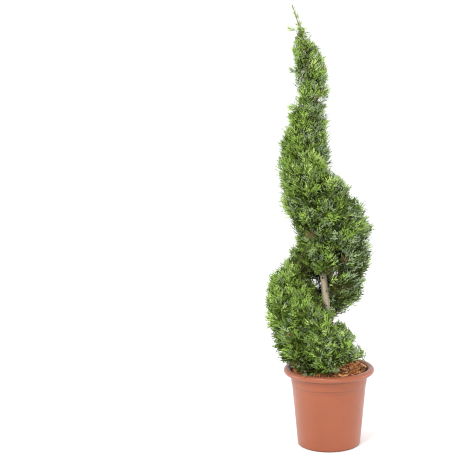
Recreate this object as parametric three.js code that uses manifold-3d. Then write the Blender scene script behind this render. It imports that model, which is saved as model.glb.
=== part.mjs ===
// A spiral topiary: a scale-leaved cypress clipped to a helix, in its round plastic pot.
// Millimetres, +Z up. The origin is the centre of the pot's flat underside, and a viewer
// at -Y sees the plant as a customer does, with the lowest lobe of foliage at the left.
import * as THREE from 'three';
import { mergeVertices } from 'three/addons/utils/BufferGeometryUtils.js';
import Module from 'manifold-3d';

const wasm = await Module();
wasm.setup();

// Driving dimensions

const POT = {
  rimRadius: 150, height: 261, baseRadius: 104, shoulderRadius: 126.5, wall: 3, floor: 3.5,
  rimHeight: 21, mouthRadius: 129, lip: 3, foot: 4, stepBelowRim: 31, step: 1.5,
  drainHoles: 6, drainRadius: 7, drainCircle: 74, sides: 36, arcStep: 40,
};
const SOIL = { level: 243, relief: 3, flatRadius: 26, fadeWidth: 25, rings: 4 };
// A chip's length is at most `length`, and at least a share of it. Its width and thickness are
// shares of its own length. It is tilted and rolled by up to half these angles, in radians.
const CHIP = { count: 12, length: 28, shortest: 0.6, width: 0.5, thickness: 0.22, tilt: 0.5,
  roll: 0.6, sunk: 1 };
// The lowest sprays lie on the soil, but rise off it round to the side where it is bare.
const BARE_SOIL = { azimuth: -20, lift: 35 };
// How far foliage stays above the soil's relief and the rim, from a little way inside the rim.
const ABOVE = { soil: 5, rim: 3, insideRim: 8 };
const CLEAR = 0.3; // between solids that touch on the real plant
const TRUNK_TIP = 1437;

// Every course below is a list of [height, value] stations joined by a smooth curve.
// The trunk leans away to the left as it rises, and sways a little.
const trunkX = course([[243, 12], [472, -9], [547, -16], [689, -28], [846, -43], [1008, -54],
  [1153, -64], [1264, -76], [1364, -94], [TRUNK_TIP, -117]]);
const trunkY = course([[243, 0], [520, -4], [760, 5], [1000, -4], [1250, 3], [TRUNK_TIP, 0]]);
const trunkRadius = course([[243, 15], [290, 13], [480, 12], [690, 10.5], [900, 8.5], [1100, 6.2],
  [1270, 3.8], [1364, 2], [TRUNK_TIP, 1]]);
const ROOT_FLARE = { swell: 0.4, height: 26, ribs: 5, depth: 0.35 };
// The trunk's rings lie closer together towards its foot, by this share.
const TRUNK_MESH = { sides: 10, rings: 26, crowding: 0.45 };

// The clipped form. `facing` is the azimuth, in degrees from +X, that the ribbon of foliage
// faces at a height, so the groove lies opposite. It turns clockwise as it climbs.
const facing = course([[245, 245], [350, 215], [430, 180], [520, 90], [700, 0], [925, -180],
  [1170, -360], [1340, -540]]);
const reach = course([[245, 125], [320, 165], [420, 180], [550, 175], [680, 150], [800, 140],
  [880, 122], [1020, 80], [1190, 59], [1300, 50], [1370, 20], [1395, 12]]);
const sideways = course([[245, -5], [350, -13], [450, -23], [550, -35], [650, 8], [750, 19],
  [870, 8], [1000, -22], [1090, -16], [1200, 4], [1300, 16], [1370, 10]]);
const grooveDepth = course([[245, 0.3], [360, 0.62], [440, 0.91], [570, 0.88], [700, 0.63],
  [925, 0.62], [1170, 0.7], [1350, 0.5]]);
const grooveWidth = course([[245, 57], [440, 60], [550, 42], [700, 30], [925, 36], [1170, 40]]);
const GROOVE_SIDE_LOSS = 0.3; // how much shorter the foliage is beside the groove
const CROWN = { bottom: 250, top: 1388 };
// The solid middle of each mass is a share of the crown's reach. It stays clear of the trunk, and
// it ends where it would be thinner than a least thickness. `column` is in degrees.
const CORE = { share: 0.72, offTrunk: 3, offTrunkShare: 0.1, thinnest: 4, thinnestShare: 0.04,
  lowest: 16, column: 22, row: 62, heightStep: 2 };

// Azimuths along the ribbon, unwrapped, that part one mass of foliage from the next. Where
// the ribbon is tall, it is parted again half way up.
const MASS_ENDS = [392, 318, 246, 176, 106, 40, -26, -115, -215, -320, -430, -550, -690];
const TALL = 270;

// Foliage: a spray is a toothed blade on a twig. Its sizes grow with the crown's reach, from
// the slim end of the crown to the broad one. The teeth are in shares of its length.
const SPRAY = { length: 80, slim: 40, broadReach: 180, twigRadius: 1.6, thickness: 0.09,
  thickest: 0.34, sunk: 8, bareTwig: 2, lift: 0.5, rootShare: 0.7, fromCoreEdge: 10, roll: 80,
  spacing: 61, closeSpacing: 42, shortest: 16, shortestReach: 0.92, longestReach: 1.02, tries: 900 };
const SPRAY_TEETH = [[0.31, 0.54], [0.15, 0.52], [0.23, 0.8], [0.08, 0.68]];
// A bough climbs from the trunk by a share of its run, with one bend, and its stem goes on from it.
// Its radii are shares of the trunk's and of its own.
const BOUGH = { rise: 1.1, fork: 8, lowestFork: 22, root: 0.36, tip: 0.62, thinnest: 1.6,
  bendRise: 0.45, bendRun: 0.6, entryDrop: 0.6, entryEdge: 10, shortOfMass: 5, stemTaper: 0.3,
  sides: 5, steps: 2, smooth: 0.1 };
const SEAM = 1.2; // half the gap between neighbouring masses
const GROOVE_SEAM = 3;

const RAD = Math.PI / 180;
const UP = new THREE.Vector3(0, 0, 1);
const STRAIGHT = 0.001; // a limb's bend as a share of its length, under which it counts as straight
const UPRIGHT = 0.9; // a limb's rise as a share of its length, over which it counts as upright
const WELD = 0.01; // corners of fused solids that lie closer than this become one

function course(stations) {
  const n = stations.length;
  const rise = stations.slice(1).map(([at, value], i) => (value - stations[i][1]) / (at - stations[i][0]));
  const slope = stations.map((_, i) => {
    if (i === 0) return rise[0];
    if (i === n - 1) return rise[n - 2];
    const [a, b] = [rise[i - 1], rise[i]];
    return a * b <= 0 ? 0 : (2 * a * b) / (a + b);
  });
  return (where) => {
    const t = Math.min(Math.max(where, stations[0][0]), stations[n - 1][0]);
    let i = 0;
    while (i < n - 2 && t >= stations[i + 1][0]) i += 1;
    const h = stations[i + 1][0] - stations[i][0];
    const u = (t - stations[i][0]) / h;
    return (1 + 2 * u) * (1 - u) ** 2 * stations[i][1] + u * (1 - u) ** 2 * h * slope[i]
      + u * u * (3 - 2 * u) * stations[i + 1][1] + u * u * (u - 1) * h * slope[i + 1];
  };
}

// The same 32-bit generator gives the same plant on every run.
function seeded(seed) {
  let state = seed >>> 0;
  return () => {
    state = (state + 0x6d2b79f5) >>> 0;
    let t = state;
    t = Math.imul(t ^ (t >>> 15), t | 1);
    t ^= t + Math.imul(t ^ (t >>> 7), t | 61);
    return ((t ^ (t >>> 14)) >>> 0) / 4294967296;
  };
}

// Solids and meshes

function solidOf(geometry) {
  const bare = geometry.clone();
  bare.deleteAttribute('normal');
  bare.deleteAttribute('uv');
  const merged = mergeVertices(bare, 1e-4);
  return new wasm.Manifold(new wasm.Mesh({
    numProp: 3,
    vertProperties: new Float32Array(merged.attributes.position.array),
    triVerts: new Uint32Array(merged.index.array),
  }));
}

function geometryOf(solid) {
  const mesh = solid.getMesh();
  const geometry = new THREE.BufferGeometry();
  geometry.setAttribute('position', new THREE.BufferAttribute(new Float32Array(mesh.vertProperties), 3));
  geometry.setIndex(new THREE.BufferAttribute(new Uint32Array(mesh.triVerts), 1));
  const facets = geometry.toNonIndexed();
  facets.computeVertexNormals();
  return facets;
}

// The largest body of a union: loose scraps and sealed hollows are left behind.
function largest(solid) {
  return solid.decompose().reduce((a, b) => (b.volume() > a.volume() ? b : a));
}

function reshape(geometry, place) {
  const position = geometry.attributes.position;
  const p = new THREE.Vector3();
  for (let i = 0; i < position.count; i += 1) {
    p.fromBufferAttribute(position, i);
    const q = place(p.x, p.y, p.z);
    position.setXYZ(i, q.x, q.y, q.z);
  }
  return geometry;
}

// A round limb along a curve with one bend, with radius(t) from its root at t = 0 to its tip at
// t = 1. Its rings keep one side in the bend's plane, so that they never turn on each other.
function limb(curve, radius, sides, steps) {
  const whole = curve.getPoint(1).sub(curve.getPoint(0));
  const across = new THREE.Vector3().crossVectors(curve.getPoint(0.5).sub(curve.getPoint(0)), whole);
  if (across.length() < STRAIGHT * whole.lengthSq()) {
    const upright = Math.abs(whole.z) > UPRIGHT * whole.length();
    across.crossVectors(whole, upright ? new THREE.Vector3(0, 1, 0) : UP);
  }
  across.normalize();
  return reshape(new THREE.CylinderGeometry(1, 1, 1, sides, steps), (x, y, z) => {
    const t = y + 0.5;
    const third = new THREE.Vector3().crossVectors(across, curve.getTangent(t));
    return curve.getPoint(t).addScaledVector(across, x * radius(t)).addScaledVector(third, z * radius(t));
  });
}

// A spray of foliage: a toothed blade, thickest at the middle of its lower half. `flat` is the
// way its face looks. Its outline runs from the root up the left teeth and down the right ones.
function sprayBlade(root, along, flat, length) {
  const across = new THREE.Vector3().crossVectors(flat, along).normalize();
  const face = new THREE.Vector3().crossVectors(along, across);
  const outline = [[0, 0], ...SPRAY_TEETH.map(([x, y]) => [-x, y]), [0, 1],
    ...SPRAY_TEETH.toReversed()];
  return reshape(new THREE.SphereGeometry(1, outline.length, 2), (x, y, z) => {
    const turn = Math.round(outline.length * Math.atan2(z, -x) / (2 * Math.PI));
    const atPole = Math.abs(y) > 0.5;
    const [side, up] = atPole ? [0, SPRAY.thickest] : outline[(turn + outline.length) % outline.length];
    return root.clone().addScaledVector(along, up * length).addScaledVector(across, side * length)
      .addScaledVector(face, atPole ? Math.sign(y) * length * SPRAY.thickness / 2 : 0);
  });
}

// The crown's form

function wrap(degrees) {
  return ((degrees + 180) % 360 + 360) % 360 - 180;
}

// How far the foliage reaches from the trunk's axis.
function crownReach(azimuth, z) {
  const off = wrap(azimuth - facing(z));
  const toGroove = 180 - Math.abs(off);
  const shorter = 1 - GROOVE_SIDE_LOSS * (1 - Math.cos(off * RAD)) / 2;
  const groove = 1 - grooveDepth(z) * Math.exp(-((toGroove / grooveWidth(z)) ** 3));
  return (reach(z) * shorter + sideways(z) * Math.cos(azimuth * RAD)) * groove;
}

// The core that the sprays stand out of, and the clear space round the trunk inside it.
function coreReach(azimuth, z) {
  return CORE.share * crownReach(azimuth, z);
}

function innerReach(z) {
  return trunkRadius(z) + CORE.offTrunk + CORE.offTrunkShare * reach(z);
}

function heightFacing(azimuth) {
  let [low, high] = [CROWN.bottom, CROWN.top];
  if (azimuth >= facing(low)) return low;
  if (azimuth <= facing(high)) return high;
  for (let i = 0; i < 40; i += 1) {
    const middle = (low + high) / 2;
    if (facing(middle) > azimuth) low = middle;
    else high = middle;
  }
  return low;
}

// The heights between which the ribbon runs at an unwrapped azimuth, and its lower and upper half.
function ribbonSpan(azimuth) {
  return [heightFacing(azimuth + 180), heightFacing(azimuth - 180)];
}

const HALVES = {
  whole: ribbonSpan,
  lower(azimuth) {
    const [bottom, top] = ribbonSpan(azimuth);
    return [bottom, (bottom + top) / 2 + GROOVE_SEAM - SEAM];
  },
  upper(azimuth) {
    const [bottom, top] = ribbonSpan(azimuth);
    return [(bottom + top) / 2 - GROOVE_SEAM + SEAM, top];
  },
};

function onCrown(azimuth, z, radius) {
  return new THREE.Vector3(trunkX(z) + radius * Math.cos(azimuth * RAD),
    trunkY(z) + radius * Math.sin(azimuth * RAD), z);
}

function crownPlace(p) {
  const [dx, dy] = [p.x - trunkX(p.z), p.y - trunkY(p.z)];
  const azimuth = Math.atan2(dy, dx) / RAD;
  return { radius: Math.hypot(dx, dy), azimuth: facing(p.z) + wrap(azimuth - facing(p.z)) };
}

// Spaces that the masses keep to

function clearOfPot(p) {
  const fromAxis = Math.hypot(p.x, p.y);
  const azimuth = Math.atan2(p.y, p.x - trunkX(SOIL.level));
  const rise = BARE_SOIL.lift * Math.max(0, Math.cos(azimuth - BARE_SOIL.azimuth * RAD));
  const ground = SOIL.level + SOIL.relief + ABOVE.soil + rise;
  const inside = fromAxis < POT.mouthRadius - ABOVE.insideRim;
  return p.z > (inside ? ground : Math.max(ground, POT.height + ABOVE.rim));
}

function ribbonSpace(from, to, span) {
  return {
    from,
    to,
    span,
    inner: innerReach,
    holds(p) {
      const { radius, azimuth } = crownPlace(p);
      const seam = SEAM / radius / RAD;
      if (azimuth > from - seam || azimuth < to + seam) return false;
      const [bottom, top] = span(azimuth);
      return p.z > bottom + GROOVE_SEAM && p.z < top - GROOVE_SEAM && radius > innerReach(p.z)
        && radius < SPRAY.longestReach * crownReach(azimuth, p.z) && clearOfPot(p);
    },
  };
}

function massSpaces() {
  return MASS_ENDS.slice(1).flatMap((to, i) => {
    const from = MASS_ENDS[i];
    const [bottom, top] = ribbonSpan((from + to) / 2);
    const halves = top - bottom > TALL ? ['lower', 'upper'] : ['whole'];
    return halves.map((half) => ribbonSpace(from, to, HALVES[half]));
  });
}

// Foliage

// A curved wedge between the space's ends, from its inner reach out to the core's reach.
function coreOf(space) {
  const azimuths = [];
  for (let a = space.to; a <= space.from; a += 1) if (coreHeights(space, a)) azimuths.push(a);
  const [low, high] = [Math.min(...azimuths), Math.max(...azimuths)];
  const columns = Math.max(3, Math.round((high - low) / CORE.column));
  const middle = coreHeights(space, Math.round((low + high) / 2));
  const rows = Math.max(3, Math.round((middle[1] - middle[0]) / CORE.row));
  return reshape(new THREE.BoxGeometry(1, 1, 1, columns, rows, 1), (x, y, z) => {
    const whole = coreHeights(space, Math.round(low + (high - low) * (x + 0.5)));
    const height = whole[0] + (whole[1] - whole[0]) * (y + 0.5);
    const roughAzimuth = low + (high - low) * (x + 0.5);
    const radius = z > 0 ? coreReach(roughAzimuth, height) : space.inner(height);
    const seam = SEAM / radius / RAD;
    const azimuth = low + seam + (high - low - 2 * seam) * (x + 0.5);
    return onCrown(azimuth, height, z > 0 ? coreReach(azimuth, height) : radius);
  });
}

// The heights between which the core has some thickness at an azimuth, or null.
function coreHeights(space, azimuth) {
  const [bottom, top] = space.span(azimuth);
  let [low, high] = [null, null];
  for (let z = bottom + GROOVE_SEAM; z <= top - GROOVE_SEAM; z += CORE.heightStep) {
    const thickness = coreReach(azimuth, z) - space.inner(z);
    const fits = clearOfPot(onCrown(azimuth, z, coreReach(azimuth, z)));
    if (thickness > CORE.thinnest + CORE.thinnestShare * reach(z) && fits) {
      if (low === null) low = z;
      high = z;
    }
  }
  return low === null || high - low < CORE.lowest ? null : [low, high];
}

// A spray's blade, the twig that carries it out of the core, and that twig's run from the stem.
function sprayOf(space, node, anchor, tip, length, roll) {
  const along = tip.clone().sub(anchor).normalize();
  const flat = new THREE.Vector3().crossVectors(along, UP).normalize().applyAxisAngle(along, roll);
  const root = tip.clone().addScaledVector(along, -length);
  const blade = sprayBlade(root, along, flat, length);
  if (!staysIn(space, blade)) return [];
  const twig = new THREE.LineCurve3(anchor, root.clone().addScaledVector(along, SPRAY.sunk));
  const inner = new THREE.LineCurve3(node, anchor.clone().addScaledVector(along, SPRAY.twigRadius));
  return [blade, ...[twig, inner].map((path) => limb(path, () => SPRAY.twigRadius, 3, 1))];
}

function staysIn(space, geometry) {
  const position = geometry.attributes.position;
  const p = new THREE.Vector3();
  for (let i = 0; i < position.count; i += 1) {
    if (!space.holds(p.fromBufferAttribute(position, i))) return false;
  }
  return true;
}

// A seeded place for a spray's tip on the mass's clipped face.
function tipOn(space, random) {
  const azimuth = space.to + (space.from - space.to) * random();
  const [bottom, top] = space.span(azimuth);
  const z = bottom + (top - bottom) * random();
  const short = SPRAY.shortestReach + (1 - SPRAY.shortestReach) * random();
  const roll = (90 + SPRAY.roll * (random() - 0.5)) * RAD;
  return { azimuth, z, roll, point: onCrown(azimuth, z, short * crownReach(azimuth, z)) };
}

function anchorFor(space, tip) {
  const heights = coreHeights(space, tip.azimuth);
  if (!heights) return null;
  const lift = SPRAY.lift * reach(tip.z);
  const edge = Math.min(SPRAY.fromCoreEdge, (heights[1] - heights[0]) / 3);
  const z = Math.min(Math.max(tip.z - lift, heights[0] + edge), heights[1] - edge);
  const outer = coreReach(tip.azimuth, z);
  return onCrown(tip.azimuth, z, space.inner(z) + SPRAY.rootShare * (outer - space.inner(z)));
}

// Each mass hangs on one stem, which goes on from its bough. Sprays are dealt out over its
// face at least a spacing apart, and one that would leave the mass's space is skipped.
function massOf(space, limbs, seed) {
  const random = seeded(seed);
  const solids = [solidOf(coreOf(space)), limbs.stem];
  const tips = [];
  for (let i = 0; i < SPRAY.tries; i += 1) {
    const tip = tipOn(space, random);
    const share = Math.min(1, crownReach(tip.azimuth, tip.z) / SPRAY.broadReach);
    const apart = SPRAY.closeSpacing + (SPRAY.spacing - SPRAY.closeSpacing) * share;
    const anchor = anchorFor(space, tip);
    if (!anchor || tips.some((other) => other.distanceTo(tip.point) < apart)) continue;
    const full = SPRAY.slim + (SPRAY.length - SPRAY.slim) * share;
    const length = Math.min(full, tip.point.distanceTo(anchor) - SPRAY.bareTwig);
    if (length < SPRAY.shortest) continue;
    const pieces = sprayOf(space, limbs.node, anchor, tip.point, length, tip.roll);
    if (!pieces.length) continue;
    tips.push(tip.point);
    solids.push(...pieces.map(solidOf));
  }
  return largest(wasm.Manifold.union(solids)).simplify(WELD);
}

// The trunk and its boughs

function trunkGeometry(grown) {
  const { sides, rings, crowding } = TRUNK_MESH;
  return reshape(new THREE.CylinderGeometry(1, 1, 1, sides, rings), (x, y, z) => {
    const t = y + 0.5;
    const height = SOIL.level + (TRUNK_TIP - SOIL.level) * (crowding * t * t + (1 - crowding) * t);
    const angle = Math.atan2(z, x);
    const flare = Math.exp(-(height - SOIL.level) / ROOT_FLARE.height)
      * (ROOT_FLARE.swell + ROOT_FLARE.depth * Math.cos(ROOT_FLARE.ribs * angle));
    const radius = Math.hypot(x, z) * (trunkRadius(height) * (1 + flare) + grown);
    return new THREE.Vector3(trunkX(height) + radius * Math.cos(angle),
      trunkY(height) - radius * Math.sin(angle), height);
  });
}

const trunk = solidOf(trunkGeometry(0));
// The same trunk, grown by a little over the clear space that its boughs keep from it.
const roundTrunk = solidOf(trunkGeometry(1.1 * CLEAR));

// A bough leaves the trunk low and turns up into its mass, and the mass's stem goes on from it.
function limbsOf(space) {
  const azimuth = (space.from + space.to) / 2;
  const [low, high] = coreHeights(space, Math.round(azimuth));
  const middle = (low + high) / 2;
  const core = (space.inner(middle) + coreReach(azimuth, middle)) / 2;
  const node = onCrown(azimuth, middle, core);
  const entry = Math.max(low + BOUGH.entryEdge, middle - BOUGH.entryDrop * (core - space.inner(middle)));
  const tip = onCrown(azimuth, entry, space.inner(entry) - BOUGH.shortOfMass);
  const fork = entry - BOUGH.rise * space.inner(entry) - BOUGH.fork;
  const root = Math.max(SOIL.level + BOUGH.lowestFork, fork);
  const start = onCrown(azimuth, root, 0);
  const bend = onCrown(azimuth, root + BOUGH.bendRise * (entry - root), BOUGH.bendRun * space.inner(entry));
  const thick = BOUGH.root * trunkRadius(root);
  const thin = Math.max(BOUGH.thinnest, BOUGH.tip * thick);
  const path = new THREE.QuadraticBezierCurve3(start, bend, tip);
  const ahead = tip.clone().sub(bend).normalize();
  const stemPath = new THREE.QuadraticBezierCurve3(tip.clone().addScaledVector(ahead, CLEAR),
    tip.clone().addScaledVector(ahead, 0.5 * tip.distanceTo(node)), node);
  const bough = solidOf(limb(path, (t) => thick + (thin - thick) * t, BOUGH.sides, BOUGH.steps));
  return {
    node,
    bough: largest(bough.subtract(roundTrunk)).simplify(BOUGH.smooth),
    stem: solidOf(limb(stemPath, (t) => thin * (1 - BOUGH.stemTaper * t), BOUGH.sides, BOUGH.steps)),
  };
}

// The pot and what fills it

function wallRadius(z) {
  return POT.baseRadius + (POT.shoulderRadius - POT.baseRadius) * z / (POT.height - POT.rimHeight);
}

function potGeometry() {
  const shoulder = POT.height - POT.rimHeight;
  const roll = { r: (POT.mouthRadius + POT.rimRadius) / 2, z: POT.height - POT.rimHeight / 2 };
  const [rx, rz] = [(POT.rimRadius - POT.mouthRadius) / 2, POT.rimHeight / 2];
  const stepHeight = shoulder - POT.stepBelowRim;
  const rollEnd = -0.3 * Math.PI;
  const lap = 0.03 * Math.PI; // which leaves the rolled rim's hidden edge about square
  const profile = new THREE.Path();
  profile.moveTo(0, 0);
  profile.lineTo(POT.baseRadius - POT.foot, 0);
  profile.lineTo(wallRadius(POT.foot), POT.foot);
  profile.lineTo(wallRadius(stepHeight), stepHeight);
  profile.lineTo(wallRadius(stepHeight) + POT.step, stepHeight + POT.step);
  profile.lineTo(POT.shoulderRadius + POT.step, shoulder);
  profile.absellipse(roll.r, roll.z, rx - POT.lip, rz - POT.lip, Math.PI, rollEnd, true);
  profile.absellipse(roll.r, roll.z, rx, rz, rollEnd - lap, Math.PI, false);
  profile.lineTo(POT.shoulderRadius - POT.wall, shoulder);
  profile.lineTo(wallRadius(POT.floor) - POT.wall, POT.floor);
  profile.lineTo(0, POT.floor);
  return new THREE.LatheGeometry(pointsOf(profile), POT.sides).rotateX(Math.PI / 2);
}

// Straight stretches keep their ends only, and each arc has a point every few degrees.
function pointsOf(path) {
  const points = [];
  for (const curve of path.curves) {
    const arc = curve.isEllipseCurve;
    const steps = arc ? Math.round(Math.abs(curve.aEndAngle - curve.aStartAngle) / (POT.arcStep * RAD)) : 1;
    for (const p of curve.getPoints(Math.max(1, steps))) {
      if (!points.length || points.at(-1).distanceTo(p) > 1e-6) points.push(p);
    }
  }
  return points;
}

function potSolid() {
  const hole = new THREE.CylinderGeometry(POT.drainRadius, POT.drainRadius, 4 * POT.floor, 10);
  hole.rotateX(Math.PI / 2);
  const holes = Array.from({ length: POT.drainHoles }, (_, i) => {
    const angle = (2 * Math.PI * i) / POT.drainHoles;
    return solidOf(hole.clone().translate(POT.drainCircle * Math.cos(angle),
      POT.drainCircle * Math.sin(angle), 0));
  });
  return solidOf(potGeometry()).subtract(wasm.Manifold.union(holes));
}

// The soil fills the pot: its top is uneven, level round the trunk, with bark chips on it.
function soilRelief(x, y) {
  const fromTrunk = Math.hypot(x - trunkX(SOIL.level), y);
  const fade = Math.min(1, Math.max(0, (fromTrunk - SOIL.flatRadius) / SOIL.fadeWidth));
  return fade * SOIL.relief * (Math.sin(x / 17 + 1) * Math.cos(y / 13) + 0.5 * Math.sin((x + y) / 8));
}

function soilSolid() {
  const top = SOIL.level - CLEAR;
  const bottom = POT.floor + CLEAR;
  const inside = (z) => wallRadius(z) - POT.wall - CLEAR;
  const profile = [new THREE.Vector2(0, bottom), new THREE.Vector2(inside(bottom), bottom)];
  for (let i = 0; i < SOIL.rings; i += 1) {
    profile.push(new THREE.Vector2(inside(POT.height - POT.rimHeight) * (1 - i / SOIL.rings), top));
  }
  profile.push(new THREE.Vector2(0, top));
  const bed = reshape(new THREE.LatheGeometry(profile, POT.sides), (x, y, z) => (y < top - 1
    ? new THREE.Vector3(x, y, z) : new THREE.Vector3(x, top + soilRelief(x, -z), z)));
  bed.rotateX(Math.PI / 2);
  const random = seeded(41);
  const chips = [];
  while (chips.length < CHIP.count) {
    const [radius, azimuth, turn, tilt, size] = [random(), random(), random(), random(), random()];
    const far = Math.sqrt(radius) * (inside(POT.height) - CHIP.length);
    const [x, y] = [far * Math.cos(2 * Math.PI * azimuth), far * Math.sin(2 * Math.PI * azimuth)];
    if (Math.hypot(x - trunkX(SOIL.level), y) < SOIL.flatRadius + CHIP.length) continue;
    const length = CHIP.length * (CHIP.shortest + (1 - CHIP.shortest) * size);
    const chip = new THREE.BoxGeometry(length, CHIP.width * length, CHIP.thickness * length);
    chip.rotateX(CHIP.tilt * (tilt - 0.5));
    chip.rotateY(CHIP.roll * (size - 0.5));
    chip.rotateZ(Math.PI * turn);
    chips.push(solidOf(chip.translate(x, y, top + soilRelief(x, y) - CHIP.sunk)));
  }
  return largest(wasm.Manifold.union([solidOf(bed), ...chips])).simplify(WELD);
}

// Colours and the finished plant

const plastic = new THREE.MeshStandardMaterial({ color: 0xc8744f, roughness: 0.6, metalness: 0 });
const compost = new THREE.MeshStandardMaterial({ color: 0x8a5230, roughness: 0.95, metalness: 0 });
const bark = new THREE.MeshStandardMaterial({ color: 0xb39a80, roughness: 0.85, metalness: 0 });
const twigBark = new THREE.MeshStandardMaterial({ color: 0x86654a, roughness: 0.85, metalness: 0 });
const foliage = new THREE.MeshStandardMaterial({ color: 0x5f8a36, roughness: 0.7, metalness: 0 });

const plant = new THREE.Group();

function add(name, solid, material) {
  const mesh = new THREE.Mesh(geometryOf(solid), material);
  mesh.name = name;
  plant.add(mesh);
}

add('pot', potSolid(), plastic);
add('soil', soilSolid(), compost);
add('trunk', trunk, bark);
massSpaces().forEach((space, i) => {
  const limbs = limbsOf(space);
  const number = String(i + 1).padStart(2, '0');
  add(`bough_${number}`, limbs.bough, twigBark);
  add(`foliage_${number}`, massOf(space, limbs, 100 + i), foliage);
});

export default plant;
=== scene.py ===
import itertools
import math
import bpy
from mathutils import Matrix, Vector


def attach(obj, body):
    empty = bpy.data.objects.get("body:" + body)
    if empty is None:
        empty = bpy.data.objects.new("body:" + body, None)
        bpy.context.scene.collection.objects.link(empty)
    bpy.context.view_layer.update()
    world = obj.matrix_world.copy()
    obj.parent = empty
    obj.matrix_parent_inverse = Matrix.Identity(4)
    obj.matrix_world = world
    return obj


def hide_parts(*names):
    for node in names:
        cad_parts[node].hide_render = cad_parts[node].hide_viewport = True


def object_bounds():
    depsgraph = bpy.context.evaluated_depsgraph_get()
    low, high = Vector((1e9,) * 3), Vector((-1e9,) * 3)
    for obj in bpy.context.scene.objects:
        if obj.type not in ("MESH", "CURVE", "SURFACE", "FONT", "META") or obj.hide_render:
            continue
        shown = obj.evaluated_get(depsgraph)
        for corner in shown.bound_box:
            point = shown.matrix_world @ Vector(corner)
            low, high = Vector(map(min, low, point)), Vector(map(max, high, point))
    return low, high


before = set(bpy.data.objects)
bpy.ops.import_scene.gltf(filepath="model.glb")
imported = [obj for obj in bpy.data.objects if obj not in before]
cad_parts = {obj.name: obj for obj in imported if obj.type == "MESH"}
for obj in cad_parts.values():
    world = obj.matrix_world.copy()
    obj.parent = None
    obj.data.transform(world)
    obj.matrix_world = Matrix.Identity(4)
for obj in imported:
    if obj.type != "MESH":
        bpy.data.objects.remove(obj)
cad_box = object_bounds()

from types import SimpleNamespace as Named

import bpy
import numpy as np
from mathutils import Matrix, Vector, noise

# A clipped spiral topiary in its plastic pot. Forms are worked out in millimetres, with +Z
# up and the origin under the pot, and each mesh is scaled to metres as it is made.

MM = 0.001
UP = np.array([0.0, 0.0, 1.0])
CLEAR = 0.3  # between solids that touch on the real plant

POT = Named(rim_radius=150, height=261, base_radius=104, shoulder_radius=126.5, wall=3, floor=3.5,
            rim_height=21, mouth_radius=129, lip=3, foot=4, step_below_rim=35, step=1.5,
            drain_holes=6, drain_radius=7, drain_circle=74, sides=144, arc_step=9)
SHOULDER = POT.height - POT.rim_height
# The soil's top is level round the trunk and heaped up towards the pot's wall.
SOIL = Named(level=243, relief=3, flat_radius=26, fade=25, heaped=12, heap_from=70, heap_run=50)
# The lowest sprays lie on the soil, but rise off it round to the side where it is bare.
BARE_SOIL = Named(azimuth=-20, lift=35)
# How far sprays stay above the soil and above the rim, which counts from a little inside it.
ABOVE = Named(soil=5, rim=3, inside_rim=8)
TRUNK_TIP = 1437
ROOT_FLARE = Named(swell=0.4, height=26, ribs=5, depth=0.35)


# Smooth courses of a value along the height

def course(*stations):
    at, value = np.array(stations, float).T
    rise = np.diff(value) / np.diff(at)
    before, after = rise[:-1], rise[1:]
    turns = before * after <= 0
    total = np.where(turns, 1, before + after)
    slope = np.concatenate([rise[:1], np.where(turns, 0, 2 * before * after / total), rise[-1:]])

    def value_at(where):
        t = np.clip(where, at[0], at[-1])
        i = np.clip(np.searchsorted(at, t, side="right") - 1, 0, len(at) - 2)
        h = at[i + 1] - at[i]
        u = (t - at[i]) / h
        return ((1 + 2 * u) * (1 - u) ** 2 * value[i] + u * (1 - u) ** 2 * h * slope[i]
                + u * u * (3 - 2 * u) * value[i + 1] + u * u * (u - 1) * h * slope[i + 1])

    return value_at


trunk_x = course((243, 12), (472, -9), (547, -16), (689, -28), (846, -43), (1008, -54),
                 (1153, -64), (1264, -76), (1364, -94), (TRUNK_TIP, -117))
trunk_y = course((243, 0), (520, -4), (760, 5), (1000, -4), (1250, 3), (TRUNK_TIP, 0))
trunk_radius = course((243, 15), (290, 13), (480, 12), (690, 10.5), (900, 8.5), (1100, 6.2),
                      (1270, 3.8), (1364, 2), (TRUNK_TIP, 1))
# The azimuth that the ribbon of foliage faces, so that the groove lies opposite.
facing = course((245, 245), (350, 215), (430, 180), (520, 90), (700, 0), (925, -180),
                (1170, -360), (1340, -540))
reach = course((245, 125), (320, 165), (420, 180), (550, 175), (680, 150), (800, 140),
               (880, 122), (1020, 80), (1190, 59), (1300, 50), (1370, 20), (1395, 12))
sideways = course((245, -5), (350, -13), (450, -23), (550, -35), (650, 8), (750, 19),
                  (870, 8), (1000, -22), (1090, -16), (1200, 4), (1300, 16), (1370, 10))
groove_depth = course((245, 0.3), (360, 0.62), (440, 0.91), (570, 0.88), (700, 0.63),
                      (925, 0.62), (1170, 0.7), (1350, 0.5))
groove_width = course((245, 57), (440, 60), (550, 42), (700, 30), (925, 36), (1170, 40))
GROOVE_SIDE_LOSS = 0.3
CROWN = Named(bottom=250, top=1388)
CORE = Named(share=0.72, off_trunk=3, off_trunk_share=0.1, thinnest=4, thinnest_share=0.04,
             lowest=16, height_step=2)
MASS_ENDS = (392, 318, 246, 176, 106, 40, -26, -115, -215, -320, -430, -550, -690)
TALL = 270
SEAM = 1.2
GROOVE_SEAM = 3
FOOT_X = float(trunk_x(SOIL.level))

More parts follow.
